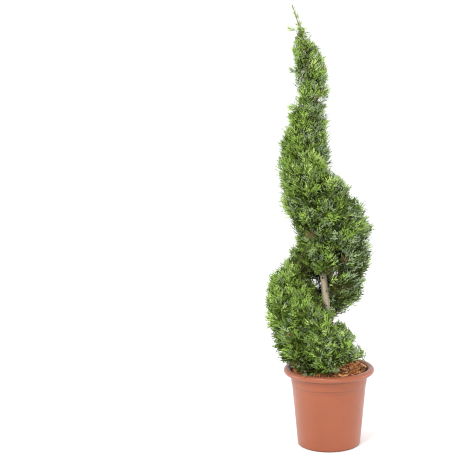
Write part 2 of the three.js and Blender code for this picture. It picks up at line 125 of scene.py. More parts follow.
# Sprays of the first order follow the source's sizes, and the fine ones are dealt by the same
# rule, closer together. A tip lies at `nearest` of the crown's reach and up to `varies` more.
SPRAY = Named(length=80, slim=40, lift=0.5, root_share=0.7, roll=80, spacing=61,
              close_spacing=42, shortest=16, tries=900)
FINE = Named(length=46, slim=27, lift=0.4, root_share=0.7, roll=300, spacing=17.5,
             close_spacing=11.5, shortest=12, tries=9000)
DEALT = Named(nearest=0.92, varies=0.08, broad_reach=180, from_core_edge=10, bare_twig=2,
              furthest=1.02, fine_furthest=1.14)
SPRAY_TEETH = ((0.31, 0.54), (0.15, 0.52), (0.23, 0.8), (0.08, 0.68))
BLADE = Named(thickest=0.34, thickness=0.09)


def wrap(degrees):
    return (degrees + 180) % 360 - 180


def grows(value, start, run):
    """From 0 at `start` to 1 when the value has gone on by `run`, which may be downwards."""
    return np.clip((value - start) / run, 0, 1)


def crown_reach(azimuth, z):
    off = wrap(azimuth - facing(z))
    to_groove = 180 - np.abs(off)
    shorter = 1 - GROOVE_SIDE_LOSS * (1 - np.cos(np.radians(off))) / 2
    groove = 1 - groove_depth(z) * np.exp(-((to_groove / groove_width(z)) ** 3))
    return (reach(z) * shorter + sideways(z) * np.cos(np.radians(azimuth))) * groove


def core_reach(azimuth, z):
    return CORE.share * crown_reach(azimuth, z)


def inner_reach(z):
    return trunk_radius(z) + CORE.off_trunk + CORE.off_trunk_share * reach(z)


HEIGHTS = np.arange(CROWN.bottom, CROWN.top + 0.2, 0.25)
TURNS = -facing(HEIGHTS)


def height_facing(azimuth):
    return np.interp(-np.asarray(azimuth, float), TURNS, HEIGHTS)


def ribbon_span(azimuth):
    return height_facing(np.asarray(azimuth) + 180), height_facing(np.asarray(azimuth) - 180)


def on_crown(azimuth, z, radius):
    turn = np.radians(azimuth)
    return np.stack([trunk_x(z) + radius * np.cos(turn), trunk_y(z) + radius * np.sin(turn),
                     z + 0 * turn], -1)


def crown_place(points):
    z = points[..., 2]
    dx, dy = points[..., 0] - trunk_x(z), points[..., 1] - trunk_y(z)
    azimuth = np.degrees(np.arctan2(dy, dx))
    return np.hypot(dx, dy), facing(z) + wrap(azimuth - facing(z))


def clear_of_pot(points):
    from_axis = np.hypot(points[..., 0], points[..., 1])
    azimuth = np.arctan2(points[..., 1], points[..., 0] - FOOT_X)
    facing_it = np.cos(azimuth - math.radians(BARE_SOIL.azimuth))
    ground = SOIL.level + SOIL.relief + ABOVE.soil + BARE_SOIL.lift * np.maximum(0, facing_it)
    over_rim = from_axis >= POT.mouth_radius - ABOVE.inside_rim
    return points[..., 2] > np.where(over_rim, np.maximum(ground, POT.height + ABOVE.rim), ground)


def in_crown(points, radius, azimuth, limit):
    z = points[..., 2]
    return ((radius > inner_reach(z)) & (radius < limit * crown_reach(azimuth, z))
            & clear_of_pot(points))


def near_crown(points):
    return in_crown(points, *crown_place(points), DEALT.fine_furthest)


def seeded(seed, count):
    """The source's 32-bit generator: its first draws for a seed."""
    step = np.uint64(0x6D2B79F5)
    state = (np.uint64(seed) + np.arange(1, count + 1, dtype=np.uint64) * step).astype(np.uint32)
    with np.errstate(over="ignore"):
        t = (state ^ (state >> np.uint32(15))) * (state | np.uint32(1))
        t = t ^ (t + (t ^ (t >> np.uint32(7))) * (t | np.uint32(61)))
    return (t ^ (t >> np.uint32(14))) / 4294967296


def unit(v):
    return v / np.maximum(np.linalg.norm(v, axis=-1, keepdims=True), 1e-9)


def scattered(rng, way, amount, count):
    """So many directions about a way."""
    return unit(way + rng.normal(0, amount, (count, 3)))


def turned(v, axis, angle):
    """Vectors turned about unit axes by angles in radians."""
    c, s = np.cos(angle)[..., None], np.sin(angle)[..., None]
    along = np.sum(v * axis, -1, keepdims=True)
    return v * c + np.cross(axis, v) * s + axis * along * (1 - c)


def picked(rows, chosen):
    return {key: value[chosen] for key, value in rows.items()}


# The spaces of the masses, and the rule that deals twigs out in them

class Space:
    def __init__(self, start, end, half):
        self.start, self.end, self.half = start, end, half

    def span(self, azimuth):
        bottom, top = ribbon_span(azimuth)
        middle = (bottom + top) / 2
        if self.half == "lower":
            return bottom, middle + GROOVE_SEAM - SEAM
        if self.half == "upper":
            return middle - GROOVE_SEAM + SEAM, top
        return bottom, top

    def core_heights(self, azimuth):
        """The lowest and highest heights where the core has some thickness, or nan."""
        azimuth = np.atleast_1d(azimuth).astype(float)
        bottom, top = self.span(azimuth)
        z = bottom[:, None] + GROOVE_SEAM + np.arange(0, np.max(top - bottom), CORE.height_step)
        turn = azimuth[:, None] + 0 * z
        core = core_reach(turn, z)
        thick = core - inner_reach(z) > CORE.thinnest + CORE.thinnest_share * reach(z)
        good = thick & (z <= top[:, None] - GROOVE_SEAM) & clear_of_pot(on_crown(turn, z, core))
        low = np.where(good, z, np.inf).min(1)
        high = np.where(good, z, -np.inf).max(1)
        none = ~good.any(1) | (high - low < CORE.lowest)
        return np.where(none, np.nan, low), np.where(none, np.nan, high)

    def holds(self, points):
        radius, azimuth = crown_place(points)
        seam = np.degrees(SEAM / np.maximum(radius, 1))
        bottom, top = self.span(azimuth)
        z = points[..., 2]
        return ((azimuth < self.start - seam) & (azimuth > self.end + seam)
                & (z > bottom + GROOVE_SEAM) & (z < top - GROOVE_SEAM)
                & in_crown(points, radius, azimuth, DEALT.furthest))


def mass_spaces():
    spaces = []
    for start, end in zip(MASS_ENDS, MASS_ENDS[1:]):
        bottom, top = ribbon_span((start + end) / 2)
        halves = ("lower", "upper") if top - bottom > TALL else ("whole",)
        spaces += [Space(start, end, half) for half in halves]
    return spaces


def blade_outline(tip, along, flat, length):
    """The corner points of the source's toothed blades, which have to stay in the space."""
    across = unit(np.cross(flat, along))
    face = np.cross(along, across)
    root = tip - along * length[:, None]
    corners = [(0, 0, 0), *[(-x, y, 0) for x, y in SPRAY_TEETH], (0, 1, 0),
               *[(x, y, 0) for x, y in reversed(SPRAY_TEETH)]]
    corners += [(0, BLADE.thickest, side * BLADE.thickness / 2) for side in (1, -1)]
    x, y, w = (np.array(c)[None, :, None] for c in zip(*corners))
    size = length[:, None, None]
    return root[:, None] + size * (x * across[:, None] + y * along[:, None] + w * face[:, None])


class Grid:
    """Places that have to keep their distance from each other."""

    def __init__(self, cell):
        self.cell, self.cells = cell, {}

    def takes(self, p, apart):
        key = tuple(math.floor(c / self.cell) for c in p)
        steps = math.ceil(apart / self.cell)
        for near in itertools.product(*(range(k - steps, k + steps + 1) for k in key)):
            if any(math.dist(p, q) < apart for q in self.cells.get(near, ())):
                return False
        self.cells.setdefault(key, []).append(p)
        return True


def deal(space, seed, rule, grid, keeps_in):
    """Twig tips on a mass's clipped face, each with the anchor that its twig comes from."""
    draws = seeded(seed, 4 * rule.tries).reshape(-1, 4)
    azimuth = space.end + (space.start - space.end) * draws[:, 0]
    bottom, top = space.span(azimuth)
    z = bottom + (top - bottom) * draws[:, 1]
    full_reach = crown_reach(azimuth, z)
    tip = on_crown(azimuth, z, (DEALT.nearest + DEALT.varies * draws[:, 2]) * full_reach)
    roll = np.radians(90 + rule.roll * (draws[:, 3] - 0.5))
    share = np.minimum(1, full_reach / DEALT.broad_reach)
    apart = rule.close_spacing + (rule.spacing - rule.close_spacing) * share
    low, high = space.core_heights(azimuth)
    edge = np.minimum(DEALT.from_core_edge, (high - low) / 3)
    has_core = ~np.isnan(low)
    root_z = np.where(has_core, np.clip(z - rule.lift * reach(z), low + edge, high - edge), z)
    inner, outer = inner_reach(root_z), core_reach(azimuth, root_z)
    anchor = on_crown(azimuth, root_z, inner + rule.root_share * (outer - inner))
    along = unit(tip - anchor)
    full = rule.slim + (rule.length - rule.slim) * share
    length = np.minimum(full, np.linalg.norm(tip - anchor, axis=1) - DEALT.bare_twig)
    flat = turned(unit(np.cross(along, UP)), along, roll)
    good = has_core & (length >= rule.shortest)
    good &= keeps_in(blade_outline(tip, along, flat, np.maximum(length, 1))).all(1)
    chosen = [i for i in np.flatnonzero(good) if grid.takes(tuple(tip[i]), apart[i])]
    return picked(dict(tip=tip, anchor=anchor, along=along, length=length, azimuth=azimuth,
                       share=share), chosen)


# Meshes

def mesh_piece(name, points, triangles, material, slot, replaced=(), smooth=False):
    """A piece of the model from points in millimetres and triangles."""
    mesh = bpy.data.meshes.new(name)
    points = np.ascontiguousarray(points, np.float32).reshape(-1, 3) * MM
    faces = np.ascontiguousarray(triangles, np.int32).reshape(-1, 3)
    mesh.vertices.add(len(points))
    mesh.vertices.foreach_set("co", points.ravel())
    mesh.loops.add(faces.size)
    mesh.loops.foreach_set("vertex_index", faces.ravel())
    mesh.polygons.add(len(faces))
    mesh.polygons.foreach_set("loop_start", np.arange(0, faces.size, 3, dtype=np.int32))
    mesh.polygons.foreach_set("use_smooth", np.full(len(faces), smooth))
    mesh.update(calc_edges=True)
    mesh.materials.append(material)
    piece = bpy.data.objects.new(name, mesh)
    bpy.context.scene.collection.objects.link(piece)
    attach(piece, "root")
    if replaced:
        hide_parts(*replaced)
    return piece


def nodes_named(start):
    return [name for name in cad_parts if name.startswith(start)]


class Bag:
    """Points and triangles gathered for one mesh."""

    def __init__(self):
        self.points, self.triangles, self.count = [], [], 0

    def add(self, points, triangles):
        points = np.asarray(points, float).reshape(-1, 3)
        self.points.append(points)
        self.triangles.append(np.asarray(triangles, int).reshape(-1, 3) + self.count)
        self.count += len(points)

    def arrays(self):
        return np.concatenate(self.points), np.concatenate(self.triangles)


def around(sides):
    return np.arange(sides) * 2 * math.pi / sides


def ring_faces(rings, sides, ends=True):
    """Triangles from each ring of points to the next, with fans that close both ends."""
    k = np.arange(sides)
    nxt = (k + 1) % sides
    faces = []
    for a in range(0, (rings - 1) * sides, sides):
        b = a + sides
        faces += [np.stack([a + k, a + nxt, b + nxt], 1), np.stack([a + k, b + nxt, b + k], 1)]
    if ends:
        fan = np.stack([0 * k[1:-1], k[1:-1], k[2:]], 1)
        faces += [fan[:, ::-1], fan + (rings - 1) * sides]
    return np.concatenate(faces)


def repeated(triangles, copies, points):
    """The triangles of so many copies, with so many points each."""
    return (triangles + (np.arange(copies) * points)[:, None, None]).reshape(-1, 3)


def tube(paths, radii, sides):
    """Closed tubes along many paths at once: paths is (tubes, rings, 3), radii (tubes, rings)."""
    paths, radii = np.asarray(paths, float), np.asarray(radii, float)
    tubes, rings, _ = paths.shape
    ahead = unit(np.gradient(paths, axis=1))
    upright = np.abs(unit(paths[:, -1:] - paths[:, :1])[..., 2:]) > 0.8
    side = unit(np.cross(ahead, np.where(upright, [[[0.3, 1, 0]]], [[UP]])))
    third = np.cross(side, ahead)
    c, s = np.cos(around(sides))[:, None], np.sin(around(sides))[:, None]
    ring = c * side[..., None, :] + s * third[..., None, :]
    points = paths[:, :, None] + ring * radii[..., None, None]
    return points.reshape(-1, 3), repeated(ring_faces(rings, sides), tubes, rings * sides)


def bezier(a, b, c, rings):
    """Points along a curve from `a` to `c` that bends towards `b`, or along many of them."""
    t = np.linspace(0, 1, rings)[:, None]
    a, b, c = (np.asarray(p, float)[..., None, :] for p in (a, b, c))
    return (1 - t) ** 2 * a + 2 * t * (1 - t) * b + t * t * c


# Sprays: flat fronds of feathery shoots

SPRAY_KINDS = 14
# How many side shoots a frond has, and how many teeth each has on either side. The rest is in
# shares of the frond's length: a shoot's width, where the side shoots leave the stalk, and how
# long they are there.
FROND = Named(shoots=5, teeth=3, width=0.16, lowest=0.12, run=0.52, long=0.64, shorter=0.34)


def shoot(base, heading, length, width, lift, roll, old, young):
    """A flat shoot with forward-pointing side teeth, which bends forward. Its foot goes to the
    old bag and the rest to the young one."""
    direction = np.array([math.sin(heading), math.cos(heading), lift])
    across = np.array([math.cos(heading), -math.sin(heading), 0]) * math.cos(roll)
    across[2] = math.sin(roll)
    bend = 0.35 * abs(math.sin(heading))

    def at(t):
        return base + direction * length * t + [0, bend * length * t * t, 0]

    step = 1 / (FROND.teeth + 1)
    for i in range(FROND.teeth):
        low, high = at(i * step), at((i + 1.25) * step)
        half = 0.5 * width * (0.75 + 0.5 * (i == 1)) * (1 - 0.62 * i / FROND.teeth)
        bag = old if i == 0 else young
        for side in (-1, 1):
            point = at((i + 1.55 + 0.25 * side) * step) + across * side * half
            corners = (low, high, point) if side > 0 else (low, point, high)
            bag.add(corners, [(0, 2, 1)])
    slim = across * 0.16 * width
    root = at(FROND.teeth * step)
    young.add([root - slim, root + slim, at(1)], [(0, 1, 2)])


def spray_kind(rng):
    """A frond of unit length along +Y, nearly flat: its old part, and its young outer part."""
    old, young = Bag(), Bag()
    bend = rng.uniform(-0.15, 0.15)
    stalk = np.array([bend, 1, 0])
    across = np.array([0.012, 0, 0])
    old.add([-across, across, 0.62 * stalk], [(0, 1, 2)])
    shoot(0.5 * stalk, bend, 0.5, FROND.width, rng.uniform(-0.1, 0.1), 0.2, old, young)
    for i in range(FROND.shoots):
        y = FROND.lowest + FROND.run * (i + rng.uniform(-0.3, 0.3)) / (FROND.shoots - 1)
        side = 1 if i % 2 else -1
        length = (FROND.long - FROND.shorter * y) * rng.uniform(0.75, 1.15)
        heading = side * math.radians(rng.uniform(24, 44) - 10 * y)
        lift, roll = rng.uniform(-0.25, 0.25), rng.uniform(-0.5, 0.5)
        width = FROND.width * rng.uniform(0.7, 1.1)
        shoot(y * stalk, heading, length, width, lift, roll, old, young)
    return old.arrays(), young.arrays()


def placed(part, sprays, chosen):
    """Copies of a frond's part: each with its own size, turn and curve out of its plane."""
    points, triangles = part
    keys = ("root", "along", "flat", "length", "curve", "broad")
    root, along, flat, length, curve, broad = (sprays[key][chosen] for key in keys)
    across = unit(np.cross(flat, along))
    face = np.cross(along, across)
    x, y, w = points.T
    size, curve = length[:, None], curve[:, None]
    out = (w + curve * y ** 2) * size
    ahead = y * size * (1 - 0.35 * np.abs(curve) * y)
    aside = x * size * broad[:, None]
    made = (root[:, None] + aside[..., None] * across[:, None]
            + ahead[..., None] * along[:, None] + out[..., None] * face[:, None])
    return made.reshape(-1, 3), repeated(triangles, len(root), len(points))


# Materials

def shaded(colour, factor):
    return tuple(c * factor for c in colour)


class Paint:
    """A material whose colour, roughness and bump come from patterns in its nodes."""

    def __init__(self, name, base, roughness, specular):
        self.material = bpy.data.materials.new(name)
        self.material.use_nodes = True
        self.nodes, self.links = self.material.node_tree.nodes, self.material.node_tree.links
        self.inputs = self.nodes["Principled BSDF"].inputs
        self.inputs["Base Color"].default_value = (*base, 1)
        self.inputs["Roughness"].default_value = roughness
        self.inputs["Specular IOR Level"].default_value = specular

    def node(self, kind, **inputs):
        """A node with values on its inputs, or with outputs of other nodes linked to them."""
        node = self.nodes.new(f"ShaderNode{kind}")
        for name, value in inputs.items():
            if isinstance(value, bpy.types.NodeSocket):
                self.links.new(value, node.inputs[name])
            else:
                node.inputs[name].default_value = value
        return node

    def noise(self, scale, detail=4, stretch=(1, 1, 1), roughness=0.55):
        place = self.node("TexCoord").outputs["Object"]
        mapped = self.node("Mapping", Vector=place, Scale=stretch).outputs["Vector"]
        pattern = self.node("TexNoise", Vector=mapped, Scale=scale, Detail=detail,
                            Roughness=roughness)
        return pattern.outputs["Fac"]

    def ramp(self, fac, *stops):
        """Colours or greys along a value, as (place, colour)."""
        node = self.node("ValToRGB", Fac=fac)
        elements = node.color_ramp.elements
        while len(elements) < len(stops):
            elements.new(0.5)
        for element, (at, colour) in zip(elements, stops):
            element.position = at
            element.color = (*colour, 1) if isinstance(colour, tuple) else (*[colour] * 3, 1)
        return node.outputs["Color"]

    def by_height(self, colour, top, *stops):
        """A colour multiplied by factors that follow the height in mm, up to `top`."""
        place = self.node("TexCoord").outputs["Object"]
        height = self.node("SeparateXYZ", Vector=place).outputs["Z"]
        share = self.node("Math")
        share.operation = "DIVIDE"
        share.inputs[1].default_value = top * MM
        self.links.new(height, share.inputs[0])
        factor = self.ramp(share.outputs["Value"], *((z / top, value) for z, value in stops))
        product = self.node("Mix", Factor=1)
        product.data_type, product.blend_type = "RGBA", "MULTIPLY"
        first, second = (socket for socket in product.inputs if socket.type == "RGBA")
        self.links.new(colour, first)
        self.links.new(factor, second)
        return next(socket for socket in product.outputs if socket.type == "RGBA")

    def colour(self, colour):
        self.links.new(colour, self.inputs["Base Color"])

    def rough(self, fac, first, last):
        self.links.new(self.ramp(fac, (0.3, first), (0.7, last)), self.inputs["Roughness"])

    def bump(self, height, strength, distance):
        node = self.node("Bump", Height=height, Strength=strength, Distance=distance)
        self.links.new(node.outputs["Normal"], self.inputs["Normal"])


def leaf_material(name, colour):
    paint = Paint(name, colour, 0.55, 0.15)
    grain = paint.noise(420, 2)
    paint.colour(paint.ramp(grain, (0.3, shaded(colour, 0.8)), (0.7, shaded(colour, 1.15))))
    paint.rough(grain, 0.45, 0.6)
    return paint.material


POT_COLOUR = (0.272, 0.067, 0.022)
# Painted shade: the colour is darkened under the rim, in a fine line below the step and on the step
# round the wall, and along the foot.
POT_PAINTED_SHADE = ((0, 0.5), (3, 0.55), (6, 1), (193.5, 1), (196, 0.8), (198.5, 1), (201, 1),
             (203, 0.78), (207, 0.78), (209, 1), (233, 0.95), (236, 0.5), (242.2, 0.52),
             (244.5, 1))


def pot_material():
    paint = Paint("pot_plastic", POT_COLOUR, 0.5, 0.5)
    clouds = paint.noise(9, 5)
    colour = paint.ramp(clouds, (0.3, shaded(POT_COLOUR, 0.93)), (0.7, shaded(POT_COLOUR, 1.07)))
    # Painted shade under the rim, at the step and along the foot, by the height.
    paint.colour(paint.by_height(colour, POT.height, *POT_PAINTED_SHADE))
    paint.inputs["Sheen Weight"].default_value = 0.12
    paint.rough(paint.noise(60, 6, (1, 1, 0.35)), 0.3, 0.48)
    paint.bump(paint.noise(900, 2), 0.12, 0.0004)
    return paint.material


def bark_material(name, light, dark, scale, *aging):
    paint = Paint(name, light, 0.85, 0.2)
    patches = paint.noise(scale, 6, (1, 1, 0.28), 0.65)
    middle = tuple((a + b) / 2 for a, b in zip(light, dark))
    colour = paint.ramp(patches, (0.32, dark), (0.47, middle), (0.62, light))
    paint.colour(paint.by_height(colour, TRUNK_TIP, *aging) if aging else colour)
    paint.rough(patches, 0.95, 0.75)
    paint.bump(paint.noise(scale * 4, 5, (1, 1, 0.12)), 0.5, 0.0008)
    return paint.material


def chip_material(name, light, dark):
    paint = Paint(name, light, 0.9, 0.2)
    fibres = paint.noise(150, 4, (1, 0.4, 1))
    paint.colour(paint.ramp(fibres, (0.35, dark), (0.65, light)))
    paint.rough(fibres, 0.95, 0.78)
    paint.bump(fibres, 0.6, 0.001)
    return paint.material


# The boughs, and the twigs that the sprays grow on

BOUGH = Named(rise=1.1, fork=8, lowest_fork=22, root=0.36, tip=0.62, thinnest=1.6, bend_rise=0.45,
              bend_run=0.6, entry_drop=0.6, entry_edge=10, short_of_mass=5, stem_taper=0.7,
              rings=14, sides=12, waves=0.08, wave=2.1, collar=1.25)


def limbs_of(spaces):
    """Each bough and the stem that goes on from it, as two curves with their root radii."""
    limbs = []
    for space in spaces:
        azimuth = (space.start + space.end) / 2
        low, high = (float(h[0]) for h in space.core_heights(round(azimuth)))
        middle = (low + high) / 2
        core = (inner_reach(middle) + core_reach(azimuth, middle)) / 2
        node = on_crown(azimuth, middle, core)
        entry = max(low + BOUGH.entry_edge,
                    middle - BOUGH.entry_drop * (core - inner_reach(middle)))
        inner = inner_reach(entry)
        tip = on_crown(azimuth, entry, inner - BOUGH.short_of_mass)
        root = max(SOIL.level + BOUGH.lowest_fork, entry - BOUGH.rise * inner - BOUGH.fork)
        bend = on_crown(azimuth, root + BOUGH.bend_rise * (entry - root), BOUGH.bend_run * inner)
        thick = BOUGH.root * trunk_radius(root)
        stem_bend = tip + unit(tip - bend) * 0.5 * np.linalg.norm(tip - node)
        limbs.append(Named(bough=(on_crown(azimuth, root, 0), bend, tip), thick=thick, node=node,
                           thin=max(BOUGH.thinnest, BOUGH.tip * thick),
                           stem=(tip, stem_bend, node)))
    return limbs


TUFT = Named(width=0.55, depth=55, spread=0.8, outward=0.3, rise=0.25, jitter=0.17, tumble=0.55,
             hollow=0.2, out=13, stray=7, longer=1.5, narrow_rise=0.4, narrow_longer=0.3)


def masses_and_twigs(spaces):
    """The first-order twigs of each mass and the fine twigs that branch from them."""
    first, fine = [], []
    fine_grid = Grid(10)
    for i, space in enumerate(spaces):
        coarse = deal(space, 100 + i, SPRAY, Grid(50), space.holds)
        close = deal(space, 300 + i, FINE, fine_grid, near_crown)
        gap = np.linalg.norm(close["tip"][:, None] - coarse["tip"][None], axis=2)
        parent = gap.argmin(1)
        close["tuft"] = gap.min(1) / (SPRAY.spacing * TUFT.width)
        close["from"] = coarse["anchor"][parent]
        close["to"] = coarse["tip"][parent]
        close["heart"] = close["to"] - coarse["along"][parent] * TUFT.depth
        close["whim"] = seeded(500 + i, len(coarse["tip"]))[parent]
        first.append(coarse)
        fine.append(close)
    return first, fine


# A fine twig leaves its parent some way back from the foot of its spray, which it runs into.
BRANCH = Named(into_spray=0.8, back=0.35, varies=0.15, first=0.02, last=0.75, rings=4)
COARSE_TWIG = Named(thick=2.3, thin=0.9, sides=5, wobble=1.2, short_of_tip=30, sag=6)
FINE_TWIG = Named(thick=1.2, thin=0.6, sides=3, wobble=0.8)


def fine_paths(close, rng):
    """Where each fine twig runs: from its parent twig to the foot of its end spray."""
    foot = close["tip"] - close["along"] * (BRANCH.into_spray * close["length"])[:, None]
    way = close["to"] - close["from"]
    reached = np.sum((foot - close["from"]) * way, 1) / np.maximum(np.sum(way * way, 1), 1)
    back = BRANCH.back + BRANCH.varies * rng.random(len(foot))
    start = close["from"] + way * np.clip(reached - back, BRANCH.first, BRANCH.last)[:, None]
    gap = np.linalg.norm(foot - start, axis=1)[:, None]
    return bezier(start, foot - close["along"] * 0.5 * gap, foot, BRANCH.rings)


def coarse_paths(coarse, node):
    """Where each first-order twig runs: from the mass's node by its anchor into its spray."""
    end = coarse["tip"] - coarse["along"] * COARSE_TWIG.short_of_tip
    anchor = coarse["anchor"]
    inner = bezier(np.broadcast_to(node, end.shape), (node + anchor) / 2 - COARSE_TWIG.sag * UP,
                   anchor, 5)
    return np.concatenate([inner, bezier(anchor, (anchor + end) / 2, end, 4)[:, 1:]], 1)


def twigs_along(paths, twig, rng):
    paths[:, 1:-1] += rng.normal(0, twig.wobble, paths[:, 1:-1].shape)
    between = [paths[:, :-1] * (1 - share) + paths[:, 1:] * share for share in (0, 1 / 3, 2 / 3)]
    paths = paths[taken_at(np.concatenate(between, 1)).max(1) < CLEARED]
    if not len(paths):
        return np.zeros((0, 3)), np.zeros((0, 3), int)
    radii = np.linspace(twig.thick, twig.thin, paths.shape[1])
    return tube(paths, np.broadcast_to(radii, paths.shape[:2]), twig.sides)


def make_twigs(first, fine, limbs, rng):
    bag = Bag()
    for coarse, limb in zip(first, limbs):
        bag.add(*twigs_along(coarse_paths(coarse, limb.node), COARSE_TWIG, rng))
    for close in fine:
        bag.add(*twigs_along(fine_paths(close, rng), FINE_TWIG, rng))
    brown = bark_material("twig_bark", (0.15, 0.125, 0.055), (0.06, 0.05, 0.022), 60)
    mesh_piece("twigs", *bag.arrays(), brown, "bough", smooth=True)


# Where the sprays grow

SIDE_SHOOT = Named(swing=(22, 60), scatter=0.2, length=(0.55, 0.95), foot=(0.8, 1.35), turn=0.5,
                   off=0.35)
FILLER = Named(candidates=90000, count=4200, nearest=0.42, furthest=0.93, widest=200,
               below_top=40, rise=0.55, scatter=0.4, length=(30, 60), full_reach=120, least=0.55)
TRUNK_SPRAYS = (
    dict(bottom=600, top=1385, count=900, spread=55, short=20, long=48, loose=0),
    dict(bottom=572, top=690, count=120, spread=45, short=30, long=52, loose=44, azimuth=-90),
    dict(bottom=425, top=452, count=40, spread=50, short=25, long=40, loose=44, azimuth=-100),
    dict(bottom=455, top=590, count=90, spread=22, short=25, long=45, loose=60, azimuth=38),
)
LEADER_SPRAYS = Named(bottom=1300, top=1434, count=60, turn=137.5, longest=30, shorter=20,
                      loose=20)
# Shoulders where the dealt twigs leave the form thin: azimuth, spread, heights, sprays, and how
# far past the form they reach.
SHOULDERS = ((180, 20, 480, 575, 70, 6), (0, 14, 865, 905, 45, 9), (0, 25, 700, 750, 30, 7),
             (-10, 20, 335, 425, 45, 8))
# Sprigs that the shears left: where each ends, the way it points, its length and its sprays.
STRAYS = (
    ((-134, 0, 1365), (-0.8, 0, 0.5), 32, 2), ((-67, 0, 1368), (0.7, 0, 0.7), 34, 2),
    ((-57, 0, 1343), (0.7, 0, 0.8), 30, 2), ((-45, 0, 1324), (0.7, 0, 0.7), 30, 2),
    ((-32, 0, 1302), (0.7, 0, 0.8), 30, 2), ((-131, 0, 1233), (-0.9, 0, 0.3), 36, 3),
    ((-135, 0, 1118), (-0.9, 0, 0.2), 38, 3), ((-6, 0, 1153), (0.8, 0, 0.5), 30, 2),
    ((-6, 0, 1093), (0.8, 0, 0.5), 30, 2), ((-18, -147, 269), (0.1, -0.95, -0.1), 50, 3),
    ((-50, -140, 269), (-0.2, -0.9, -0.1), 50, 3), ((-78, -124, 269), (-0.5, -0.8, -0.1), 50, 3),
)


def crown_normal(azimuth, z, rise=4, turn=3):
    """The way that the crown's clipped face looks, by its slopes over a rise and a turn."""
    r = np.maximum(crown_reach(azimuth, z), 5)
    climb = (crown_reach(azimuth, z + rise) - crown_reach(azimuth, z - rise)) / (2 * rise)
    widening = crown_reach(azimuth + turn, z) - crown_reach(azimuth - turn, z)
    slope = widening / (np.radians(2 * turn) * r)
    c, s = np.cos(np.radians(azimuth)), np.sin(np.radians(azimuth))
    return unit(np.stack([c + slope * s, s - slope * c, -climb], -1))


def spray_rows(root, along, flat, length, tuft, whim=0.5, loose=0.0):
    """Sprays as rows of a table: `tuft` is how far a spray is from its tuft's middle, `whim` is
    its tuft's own draw, and `loose` is a reach in mm that it may have in any case."""
    rows = dict(root=root, along=along, flat=flat, length=length, tuft=tuft, whim=whim,
                loose=loose)
    return {key: np.broadcast_to(value, np.shape(root) if np.ndim(value) == 2 else len(root))
            for key, value in rows.items()}


def grow_sprays(fine, rng):
    """Every spray of the plant: its root, direction, face, length and place in its tuft."""
    rows = [row for close in fine for row in tuft_sprays(close, rng)]
    rows += [filler_sprays(rng), leader_sprays(rng)]
    rows += [trunk_sprays(rng, **band) for band in TRUNK_SPRAYS]
    rows += [stray_sprays(rng, *stray) for stray in STRAYS]
    rows += [shoulder_sprays(rng, *band) for band in SHOULDERS]
    sprays = {key: np.concatenate([row[key] for row in rows]) for key in rows[0]}
    count = len(sprays["length"])
    return dict(sprays, kind=rng.integers(0, SPRAY_KINDS, count), curve=rng.normal(0, 0.2, count),
                broad=rng.uniform(0.8, 1.15, count), limit=rng.random(count),
                chance=rng.random(count), mood=rng.normal(0, 1, count), blue=rng.random(count),
                dying=rng.random(count))


def tuft_sprays(close, rng):
    """A spray at the end of each fine twig, and one on either side of it."""
    count = len(close["tip"])
    normal = crown_normal(close["azimuth"], close["tip"][:, 2])
    fan = unit(close["tip"] - close["heart"])
    narrow = (1 - close["share"])[:, None]
    rise = TUFT.rise + TUFT.narrow_rise * narrow
    heading = unit(fan * TUFT.spread + normal * TUFT.outward + UP * rise)
    along = scattered(rng, heading, TUFT.jitter, count)
    flat = scattered(rng, 0.7 * normal + 0.3 * UP, TUFT.tumble, count)
    longer = TUFT.longer * (1 + TUFT.narrow_longer * narrow[:, 0])
    length = longer * close["length"] * rng.uniform(0.7, 1.2, count)
    back = TUFT.hollow * np.clip(close["tuft"], 0, 1.3) ** 2 * length
    back += rng.uniform(-TUFT.stray, TUFT.stray, count) - TUFT.out
    tip = close["tip"] - normal * back[:, None]
    yield spray_rows(tip - along * length[:, None], along, flat, length, close["tuft"],
                     close["whim"])
    for side in (-1, 1):
        swing = np.radians(rng.uniform(*SIDE_SHOOT.swing, count)) * side
        way = scattered(rng, turned(heading, flat, swing), SIDE_SHOOT.scatter, count)
        size = length * rng.uniform(*SIDE_SHOOT.length, count)
        root = tip - heading * (length * rng.uniform(*SIDE_SHOOT.foot, count))[:, None]
        face = turned(flat, along, rng.normal(0, SIDE_SHOOT.turn, count))
        yield spray_rows(root, way, face, size, close["tuft"] + SIDE_SHOOT.off, close["whim"])


def outward(azimuth, z):
    return on_crown(azimuth, z, 1.0) - on_crown(azimuth, z, 0.0)


def any_face(along, rng):
    return turned(unit(np.cross(along, UP)), along, rng.uniform(0, math.pi, len(along)))


def filler_sprays(rng):
    """Sprays all through the crown's body, which make its depth."""
    count = FILLER.candidates
    z = rng.uniform(CROWN.bottom, CROWN.top - FILLER.below_top, count)
    far, turn = FILLER.widest * np.sqrt(rng.random(count)), rng.uniform(-180, 180, count)
    azimuth = facing(z) + wrap(turn - facing(z))
    share = far / np.maximum(crown_reach(azimuth, z), 1)
    inside = (share > FILLER.nearest) & (share < FILLER.furthest) & (far > inner_reach(z))
    chosen = np.flatnonzero(inside)[:FILLER.count]
    z, azimuth, far = z[chosen], azimuth[chosen], far[chosen]
    way = outward(azimuth, z) + UP * FILLER.rise
    along = scattered(rng, way, FILLER.scatter, len(z))
    size = np.clip(reach(z) / FILLER.full_reach, FILLER.least, 1)
    length = rng.uniform(*FILLER.length, len(z)) * size
    root = on_crown(azimuth, z, far) - along * length[:, None]
    return spray_rows(root, along, any_face(along, rng), length, rng.uniform(0.2, 1.2, len(z)))


